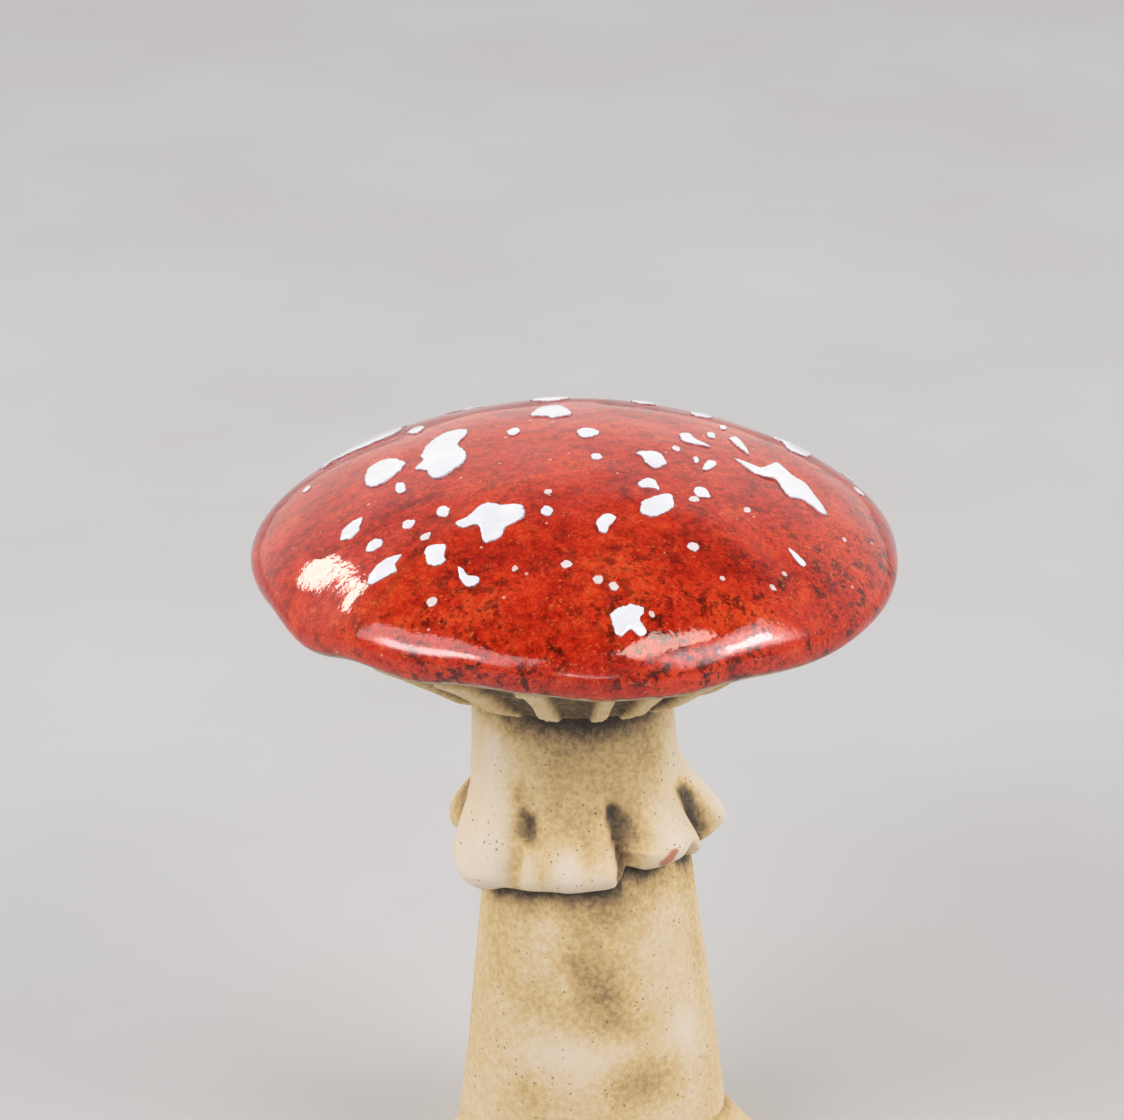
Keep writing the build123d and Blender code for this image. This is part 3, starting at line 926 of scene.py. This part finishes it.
# Large dabs: the corners of each outline in plan, from the cap's axis, right and back
SHAPED_SPOTS = (
    ((-24.4, -6.3), (-23.4, -3.8), (-23.7, -1.4), (-22.6, 2.9), (-20.2, 7.1), (-17.0, 7.2),
     (-16.7, 4.5), (-17.6, 1.8), (-18.0, -0.2), (-16.6, -4.1), (-16.9, -7.5), (-18.3, -9.4),
     (-20.5, -11.6), (-22.1, -10.2), (-22.7, -7.9)),
    ((-32.1, -2.4), (-31.2, 0.4), (-28.5, 0.7), (-26.1, -2.5), (-26.7, -5.5), (-29.7, -8.3),
     (-31.8, -6.7)),
    ((-39.6, 12.0), (-40.4, 17.5), (-37.5, 22.5), (-32.5, 26.0), (-27.2, 26.5), (-27.1, 22.7),
     (-28.2, 17.2), (-32.3, 14.6), (-35.2, 14.9), (-38.0, 13.6)),
    ((-7.0, 11.0), (-5.9, 15.6), (-3.1, 17.5), (-2.0, 16.7), (-0.6, 11.9), (-1.5, 10.2), (-3.7, 9.2),
     (-4.8, 10.2)),
    ((-35.1, -19.0), (-34.7, -17.3), (-32.0, -16.3), (-32.3, -19.1), (-33.2, -20.3), (-34.7, -20.0)),
    ((-30.6, -31.0), (-29.8, -29.2), (-27.9, -28.1), (-25.7, -28.4), (-26.5, -30.0), (-26.3, -31.2),
     (-27.1, -31.7), (-29.0, -32.0), (-30.2, -31.9)),
    ((-22.2, -30.1), (-21.9, -28.4), (-19.5, -28.6), (-19.1, -29.6), (-19.3, -31.1), (-19.1, -32.1),
     (-20.2, -32.7), (-21.6, -31.9)),
    ((-17.3, -33.7), (-16.6, -34.2), (-15.7, -35.7), (-14.1, -36.5), (-14.5, -37.6), (-15.8, -37.6),
     (-16.8, -36.3), (-17.2, -35.1)),
    ((-18.0, -24.5), (-16.2, -23.7), (-13.5, -20.8), (-11.1, -21.8), (-8.1, -22.2), (-7.6, -25.1),
     (-9.1, -26.6), (-10.3, -27.5), (-10.9, -29.2), (-12.4, -30.1), (-13.4, -30.1), (-13.9, -29.1),
     (-14.3, -26.6), (-15.2, -26.0), (-16.8, -26.1)),
    ((9.0, -6.5), (9.9, -5.6), (12.4, -5.3), (13.7, -8.4), (13.2, -9.4), (11.7, -10.9), (10.5, -9.5),
     (9.8, -7.4)),
    ((9.0, -16.1), (10.4, -14.3), (11.7, -14.6), (12.4, -17.5), (11.5, -17.1), (9.7, -17.1)),
    ((9.4, -22.1), (10.0, -20.8), (13.7, -18.0), (14.4, -20.1), (14.2, -22.0), (11.7, -24.4),
     (9.6, -24.2)),
    ((2.8, -27.0), (3.6, -25.0), (4.8, -24.4), (5.8, -25.3), (5.3, -26.5), (4.7, -27.7), (4.4, -28.8),
     (3.4, -28.7)),
    ((15.8, 4.1), (17.3, 5.6), (18.3, 3.2), (20.5, 0.9), (18.6, 0.7), (17.1, 0.4), (16.2, 1.3)),
    ((19.0, -8.4), (20.0, -5.0), (21.2, -5.0), (20.8, -7.0), (19.7, -8.7)),
    ((23.7, 7.5), (24.8, 9.1), (25.8, 6.0), (26.5, 1.7), (25.3, 3.1), (24.1, 5.6)),
    ((24.1, -1.7), (26.6, -2.6), (28.3, -2.4), (30.5, 1.5), (31.4, 0.9), (33.0, -1.8), (35.0, -3.2),
     (36.0, -5.6), (37.8, -10.4), (37.3, -11.8), (35.5, -10.6), (33.8, -9.6), (32.2, -10.5),
     (31.1, -8.3), (30.3, -5.7), (28.2, -5.8), (26.4, -5.3), (24.9, -3.1)),
    ((30.9, 17.6), (33.5, 21.5), (37.0, 18.5), (36.8, 14.8), (35.6, 10.8), (33.1, 11.1), (32.4, 15.8)),
    ((31.2, -24.2), (31.8, -24.0), (33.7, -25.5), (33.5, -26.2), (32.8, -26.2)),
    ((4.7, -43.3), (5.7, -42.3), (7.6, -41.5), (9.5, -41.6), (9.6, -42.5), (9.0, -43.4), (10.0, -45.0),
     (9.0, -45.6), (8.0, -45.1), (7.3, -45.2), (6.1, -46.0), (5.3, -45.3)),
)
# Small dabs: right, back, length across the view, length along it, and turn in degrees
SMALL_SPOTS = (
    (1.8, 1.0, 3.5, 4.3, 0), (3.0, -8.2, 1.8, 2.2, 0), (-24.9, 14.2, 2.4, 5.3, 0),
    (-9.6, 2.9, 2.0, 3.5, 10), (-26.4, -11.3, 1.6, 4.0, -10), (-29.8, -24.0, 2.4, 2.6, 0),
    (-4.4, -24.0, 1.9, 2.5, 0), (-19.7, -21.1, 1.8, 3.0, -20), (-24.8, -22.0, 1.9, 2.0, -30),
    (-22.2, -26.0, 1.7, 1.6, 30), (-9.0, -36.0, 0.9, 1.1, 0), (-4.3, -19.1, 1.4, 1.5, 0),
    (18.7, -16.2, 2.4, 3.2, -15), (17.5, -18.5, 1.6, 1.7, 0), (18.1, -5.8, 0.9, 2.6, 0),
    (15.2, -2.8, 1.2, 2.0, 0), (17.0, -30.0, 1.7, 1.8, 20), (-1.5, -35.4, 1.8, 1.4, 0),
    (3.0, -37.9, 1.4, 1.6, 20), (5.3, -38.9, 1.5, 1.5, 20), (25.3, -18.0, 1.1, 1.6, 20),
    (10.7, -42.4, 0.9, 0.9, 0), (-21.0, -38.3, 1.6, 1.4, 0), (40.1, -15.6, 0.7, 1.0, 0),
    (21.1, -34.6, 0.8, 0.8, 0), (30.4, -29.4, 0.8, 0.9, 0), (28.6, -32.9, 1.0, 0.8, 30),
    (23.0, 14.0, 1.2, 3.0, 0), (20.9, 7.2, 1.4, 3.4, 0), (-4.0, 25.6, 6.4, 7.0, 0),
    (10.8, 25.2, 3.8, 6.0, 0), (19.7, 21.6, 3.8, 6.0, 0), (-18.0, 34.0, 8.0, 5.5, -30),
    (3.0, 40.0, 7.0, 5.0, 0), (25.0, 36.0, 5.0, 4.0, 30), (-29.5, 34.5, 3.5, 4.0, 0),
    (-12.0, 41.0, 2.6, 2.2, 0), (36.5, 27.0, 2.4, 3.6, -35), (19.0, 44.0, 2.6, 2.2, 0),
    (-7.0, 46.0, 3.0, 2.0, 0), (44.0, 8.0, 1.6, 2.6, 0), (13.0, 35.5, 3.0, 2.4, 0),
    (43.0, 17.0, 2.0, 3.6, -20), (-41.5, 3.5, 1.3, 2.2, 0),
)


def closed_curve(corners, share):
    """A point on the smooth closed curve through the corners."""
    count = len(corners)
    number = int(share * count)
    gone = share * count - number
    before, here, there, after = (Vector(corners[(number + step) % count]) for step in (-1, 0, 1, 2))
    bend = 2 * before - 5 * here + 4 * there - after
    twist = 3 * (here - there) + after - before
    return (2 * here + (there - before) * gone + bend * gone**2 + twist * gone**3) / 2


def oval_corners(right, back, across, deep, turn, number):
    """A ragged oval dab whose bumps differ from one dab to the next."""
    corners = []
    lean = radians(turn)
    for step in range(DAB_CORNERS):
        way = -tau * step / DAB_CORNERS
        swell = 1 + DAB_BUMP * lump(2.1 * cos(way), 2.1 * sin(way), z=7.3 * number, size=1)
        x, y = swell * across / 2 * cos(way), swell * deep / 2 * sin(way)
        corner_right = right + x * cos(lean) + y * sin(lean)
        corner_back = back - x * sin(lean) + y * cos(lean)
        corners.append((corner_right, corner_back))
    return corners


def dome_normal(x, y):
    right_rise = dome_height(x + SLOPE_STEP, y) - dome_height(x - SLOPE_STEP, y)
    back_rise = dome_height(x, y + SLOPE_STEP) - dome_height(x, y - SLOPE_STEP)
    run = 2 * SLOPE_STEP
    return Vector((-right_rise / run, -back_rise / run, 1)).normalized()


def ball_of_glaze(segments, rings):
    deselect()
    bpy.ops.mesh.primitive_uv_sphere_add(segments=segments, ring_count=rings, radius=1)
    bpy.ops.object.shade_smooth()
    return bpy.context.object


def lay_dab(ball, corners):
    """A copy of a ball of glaze, pressed flat to an outline and laid on the dome."""
    drop = ball.copy()
    drop.data = ball.data.copy()
    bpy.context.scene.collection.objects.link(drop)
    edge = drop.data.attributes.new("edge", "FLOAT", "POINT")
    sheer = drop.data.attributes.new("sheer", "FLOAT", "POINT")
    middle = sum((Vector(corner) for corner in corners), Vector((0, 0))) / len(corners)
    size = max((Vector(corner) - middle).length for corner in corners)
    thick = SPOT_THICKNESS * min(DAB_THINNEST + size / DAB_GROWTH, DAB_THICKEST)
    see_through = SHEER_MOST * (1 - smooth_step((size - SHEER_SIZE) / SHEER_SPAN))
    for point in drop.data.vertices:
        x, y, z = point.co
        share = hypot(x, y)
        way = atan2(y, x) / tau % 1.0
        rim = closed_curve(corners, way)
        ragged = lump(rim.x, rim.y, z=5, size=0.8) + 0.6 * lump(rim.x, rim.y, z=9, size=0.35)
        out = rim - middle
        stray = SPOT_RAGGED * ragged / max(out.length, 0.6)
        flat = middle + out * share**DAB_SPREAD * (1 + stray)
        if z >= 0:
            level = thick * z**DAB_ROUND
            edge.data[point.index].value = share
        else:
            level = -SPOT_SINK * abs(z) ** DAB_UNDER
            edge.data[point.index].value = 1.0
        sheer.data[point.index].value = see_through
        on_dome = Vector((flat.x, flat.y, dome_height(flat.x, flat.y)))
        point.co = (on_dome + dome_normal(flat.x, flat.y) * level + Vector((CAP_X, 0, 0))) * MM
    return drop


def white_glaze():
    """Thick white glaze, faintly uneven, that thins to mauve at its edge, with painted shade there. Small
    dabs let the red show.
    """
    material, tree, place, shader = new_material("white_glaze")
    edge = painted(tree, "edge")
    sheer = painted(tree, "sheer")
    cloud = grain(tree, place, scale=300, detail=3.0)
    colour = ramp(tree, cloud, GLAZE_WHITE)
    colour = over(tree, sheer, colour, SHEER_PINK)
    frayed = between(tree, grain(tree, place, scale=900), 0.3, 0.7, least=-0.03, most=0.03)
    # the dab's edge is thin glaze and painted shade
    thin_and_shaded = sums(tree, "ADD", edge, frayed)
    thin_and_shaded = between(tree, thin_and_shaded, 0.90, 1.0, least=0.0, most=0.92)
    colour = over(tree, thin_and_shaded, colour, EDGE_MAUVE)
    rough = between(tree, cloud, 0.3, 0.7, least=0.10, most=0.18)
    waves = grain(tree, place, scale=500, detail=3.0)
    skin = bump(tree, waves, strength=0.2, depth=0.1)
    feed(tree, shader, colour, rough, skin, bend=1.5)
    return material


large_ball = ball_of_glaze(segments=120, rings=14)
small_ball = ball_of_glaze(segments=40, rings=10)
drops = [lay_dab(large_ball, corners) for corners in SHAPED_SPOTS]
for number, spot in enumerate(SMALL_SPOTS):
    drops.append(lay_dab(small_ball, oval_corners(*spot, number)))
bpy.data.objects.remove(large_ball)
bpy.data.objects.remove(small_ball)
deselect()
for drop in drops:
    drop.select_set(True)
bpy.context.view_layer.objects.active = drops[0]
bpy.ops.object.join()
spots = bpy.context.object
spots.name = "white_dabs"
spots.data.name = "white_dabs"
bpy.ops.object.mode_set(mode="EDIT")
bpy.ops.mesh.select_all(action="SELECT")
bpy.ops.mesh.normals_make_consistent(inside=False)
bpy.ops.object.mode_set(mode="OBJECT")
spots.data.materials.append(white_glaze())
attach(spots, "root")
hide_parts("white_spots")


# Floor, light and camera
# A plain pale table in a softly lit room. A broad light overhead and a softbox at each front side
# light the ornament, and smaller panels and a strip only show as bright reflections in the glaze.
FLOOR_SIZE = 6.0
TABLE_GREY = ((0.3, (206, 206, 206)), (0.7, (214, 215, 217)))
ROOM_COLOUR = (1.0, 0.95, 0.90, 1.0)
CAMERA_TARGET = Vector((-5.16, 0, 107.1)) * MM
CAMERA_DISTANCE = 600 * MM
CAMERA_ELEVATION = 22.0
FOCAL_PIXELS = 3882
IMAGE_WIDTH = 1124
SENSOR_WIDTH = 36.0
CLIP_START = 10 * MM


def pale_table():
    material, tree, place, shader = new_material("pale_table")
    colour = ramp(tree, grain(tree, place, scale=6, detail=4.0), TABLE_GREY)
    tree.links.new(colour, shader.inputs["Base Color"])
    shader.inputs["Roughness"].default_value = 0.75
    return material


deselect()
bpy.ops.mesh.primitive_plane_add(size=FLOOR_SIZE)
floor = bpy.context.object
floor.name = "pale_floor"
floor.data.materials.append(pale_table())


def bearing_point(angle, elevation, distance):
    """A point seen from the cap at an angle from the front and an elevation."""
    turn, rise = radians(angle), radians(elevation)
    flat = distance * cos(rise)
    return Vector((flat * sin(turn), -flat * cos(turn), distance * sin(rise)))


def softbox(name, angle, elevation, distance, size, power, colour, roll=0, mirrored=True, lights=True):
    """An area light that faces the cap. It shows in the glaze if it is mirrored, and only there if it
    lights nothing."""
    place = CAMERA_TARGET + bearing_point(angle, elevation, distance)
    bpy.ops.object.light_add(type="AREA", location=place)
    light = bpy.context.object
    light.name = name
    light.data.shape = "RECTANGLE"
    light.data.size, light.data.size_y = size
    light.data.energy = power
    light.data.color = colour
    facing = (CAMERA_TARGET - place).to_track_quat("-Z", "Y")
    light.rotation_euler = (facing @ Quaternion((0, 0, 1), radians(roll))).to_euler()
    light.visible_glossy = mirrored
    light.visible_diffuse = lights


# Name, angle, elevation, distance, width and height in metres, power in watts, colour
softbox("overhead", 180, 70, 2.0, (3.0, 3.0), 13.0, (1.0, 1.0, 1.0), mirrored=False)
softbox("left_front", -50, 36, 2.0, (1.80, 1.00), 22.0, (1.0, 0.97, 1.0))
softbox("left_core", -52, 30, 1.95, (0.85, 0.34), 11.0, (1.0, 0.98, 1.0), lights=False)
softbox("right_front", 63, 33, 2.0, (1.50, 1.05), 19.0, (1.0, 0.97, 1.0))
softbox("right_core", 66, 31, 1.95, (0.80, 0.36), 13.0, (1.0, 0.98, 1.0), lights=False)
softbox("right_glow", 62, 32, 1.98, (1.20, 0.80), 11.0, (1.0, 0.95, 1.0), lights=False)
softbox("left_window", -120, 35.5, 2.0, (0.58, 0.26), 6.8, (0.93, 0.97, 0.86), roll=-20, lights=False)
softbox("right_window", 42, 55, 2.0, (0.70, 0.50), 11.0, (0.88, 0.95, 0.85), roll=25, lights=False)
softbox("front_strip", 6, 19, 2.0, (0.60, 0.03), 2.2, (1.0, 0.98, 0.96), lights=False)

world = bpy.data.worlds.new("soft_room")
world.use_nodes = True
bpy.context.scene.world = world
sky = world.node_tree
direction = node(sky, "TexCoord", {}).outputs["Generated"]
ways = node(sky, "SeparateXYZ", {0: direction})
behind = between(sky, ways.outputs["Y"], -0.45, 0.5, 0.30, 1.04)
below = between(sky, ways.outputs["Z"], 0.50, 0.85, 1.0, 0.12)
glow = times(sky, behind, below)
sky.nodes["Background"].inputs["Color"].default_value = ROOM_COLOUR
sky.links.new(glow, sky.nodes["Background"].inputs["Strength"])

camera_data = bpy.data.cameras.new("front_camera")
camera = bpy.data.objects.new("front_camera", camera_data)
bpy.context.scene.collection.objects.link(camera)
camera.location = CAMERA_TARGET + bearing_point(0, CAMERA_ELEVATION, CAMERA_DISTANCE)
camera.rotation_euler = (radians(90 - CAMERA_ELEVATION), 0, 0)
camera_data.sensor_width = SENSOR_WIDTH
camera_data.lens = FOCAL_PIXELS / IMAGE_WIDTH * SENSOR_WIDTH
camera_data.clip_start = CLIP_START
bpy.context.scene.camera = camera
bpy.context.scene.view_settings.view_transform = "Standard"
